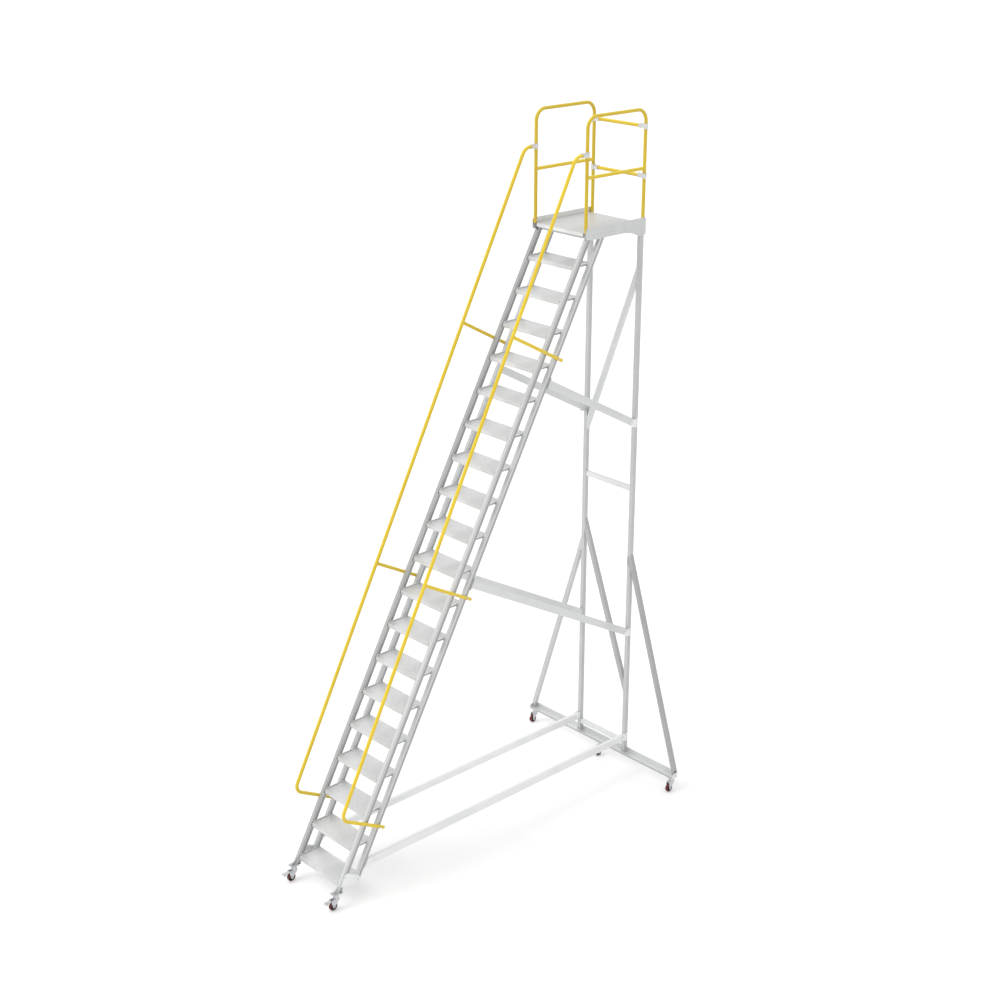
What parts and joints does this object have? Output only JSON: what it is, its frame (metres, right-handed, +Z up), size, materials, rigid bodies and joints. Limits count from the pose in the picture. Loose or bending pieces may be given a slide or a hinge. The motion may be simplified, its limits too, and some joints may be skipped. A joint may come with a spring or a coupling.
{
  "type": "rolling warehouse ladder",
  "caption": "Tall aluminium rolling ladder with grooved treads, a guarded top platform, yellow handrails, a braced rear frame and swivel casters.",
  "frame": {"origin": "middle of the whole footprint, on the floor", "axes": "+Z up; +Y the direction a person faces while climbing; +X to their right"},
  "size_m": [2.028, 3.8606, 6.624],
  "materials": {
    "aluminium": "mill-finish extrusion, satin",
    "tread_aluminium": "ribbed satin extrusion",
    "guard_yellow": "safety yellow powder coat",
    "cast_fitting": "tumbled casting",
    "zinc_steel": "bright zinc plate",
    "fastener": "zinc plated",
    "wheel_core": "black painted casting",
    "polyurethane": "dark red moulded tread",
    "plug_plastic": "moulded"
  },
  "bodies": {
    "frame": {"stringer_front_left": "aluminium", "stringer_front_right": "aluminium", "stringer_rear_left": "aluminium", "stringer_rear_right": "aluminium", "treads": "tread_aluminium", "deck_panel": "tread_aluminium", "deck_frame": "aluminium", "skirt_left": "aluminium", "skirt_right": "aluminium", "guard_hoop_left": "guard_yellow", "guard_hoop_right": "guard_yellow", "guard_midrails": "guard_yellow", "rear_guard_bars": "guard_yellow", "rear_bar_fittings": "cast_fitting", "handrail_left": "guard_yellow", "handrail_right": "guard_yellow", "handrail_clamps": "cast_fitting", "rear_leg_left": "aluminium", "rear_leg_right": "aluminium", "rear_rungs": "aluminium", "diagonal_upper": "aluminium", "diagonal_lower": "aluminium", "upper_braces": "aluminium", "lower_braces": "aluminium", "base_rails": "aluminium", "crossbeam": "aluminium", "outrigger_brace_left": "aluminium", "outrigger_brace_right": "aluminium", "foot_ties": "aluminium", "leg_joint_plates": "aluminium", "tube_plugs": "plug_plastic", "tread_rivets": "fastener", "frame_bolts": "fastener", "post_bolts": "fastener", "arm_bolts": "fastener", "caster_bolts": "fastener", "caster_top_plates": "zinc_steel"},
    "fork_fl": {"caster_fork_fl": "zinc_steel", "caster_axle_fl": "fastener"},
    "wheel_fl": {"wheel_hub_fl": "wheel_core", "wheel_tyre_fl": "polyurethane"},
    "pedal_fl": {"brake_pedal_fl": "zinc_steel"},
    "fork_fr": {"caster_fork_fr": "zinc_steel", "caster_axle_fr": "fastener"},
    "wheel_fr": {"wheel_hub_fr": "wheel_core", "wheel_tyre_fr": "polyurethane"},
    "pedal_fr": {"brake_pedal_fr": "zinc_steel"},
    "fork_rl": {"caster_fork_rl": "zinc_steel", "caster_axle_rl": "fastener"},
    "wheel_rl": {"wheel_hub_rl": "wheel_core", "wheel_tyre_rl": "polyurethane"},
    "fork_rm": {"caster_fork_rm": "zinc_steel", "caster_axle_rm": "fastener"},
    "wheel_rm": {"wheel_hub_rm": "wheel_core", "wheel_tyre_rm": "polyurethane"},
    "fork_rr": {"caster_fork_rr": "zinc_steel", "caster_axle_rr": "fastener"},
    "wheel_rr": {"wheel_hub_rr": "wheel_core", "wheel_tyre_rr": "polyurethane"}
  },
  "joints": [
    {"name": "swivel_fl", "type": "hinge", "parent": "frame", "child": "fork_fl", "pos_m": [-0.31, -1.8112, 0.111], "axis": [0, 0, 1], "continuous": true},
    {"name": "spin_fl", "type": "hinge", "parent": "fork_fl", "child": "wheel_fl", "pos_m": [-0.31, -1.8462, 0.04], "axis": [1, 0, 0], "continuous": true},
    {"name": "brake_fl", "type": "hinge", "parent": "fork_fl", "child": "pedal_fl", "pos_m": [-0.31, -1.8632, 0.096], "axis": [1, 0, 0], "range_deg": [0, 12], "stiffness_Nm_per_rad": 0.6},
    {"name": "swivel_fr", "type": "hinge", "parent": "frame", "child": "fork_fr", "pos_m": [0.31, -1.8112, 0.111], "axis": [0, 0, 1], "continuous": true},
    {"name": "spin_fr", "type": "hinge", "parent": "fork_fr", "child": "wheel_fr", "pos_m": [0.31, -1.8462, 0.04], "axis": [1, 0, 0], "continuous": true},
    {"name": "brake_fr", "type": "hinge", "parent": "fork_fr", "child": "pedal_fr", "pos_m": [0.31, -1.8632, 0.096], "axis": [1, 0, 0], "range_deg": [0, 12], "stiffness_Nm_per_rad": 0.6},
    {"name": "swivel_rl", "type": "hinge", "parent": "frame", "child": "fork_rl", "pos_m": [-0.974, 1.8725, 0.111], "axis": [0, 0, 1], "continuous": true},
    {"name": "spin_rl", "type": "hinge", "parent": "fork_rl", "child": "wheel_rl", "pos_m": [-0.974, 1.8375, 0.04], "axis": [1, 0, 0], "continuous": true},
    {"name": "swivel_rm", "type": "hinge", "parent": "frame", "child": "fork_rm", "pos_m": [0, 1.8725, 0.111], "axis": [0, 0, 1], "continuous": true},
    {"name": "spin_rm", "type": "hinge", "parent": "fork_rm", "child": "wheel_rm", "pos_m": [0, 1.8375, 0.04], "axis": [1, 0, 0], "continuous": true},
    {"name": "swivel_rr", "type": "hinge", "parent": "frame", "child": "fork_rr", "pos_m": [0.974, 1.8725, 0.111], "axis": [0, 0, 1], "continuous": true},
    {"name": "spin_rr", "type": "hinge", "parent": "fork_rr", "child": "wheel_rr", "pos_m": [0.974, 1.8375, 0.04], "axis": [1, 0, 0], "continuous": true}
  ]
}
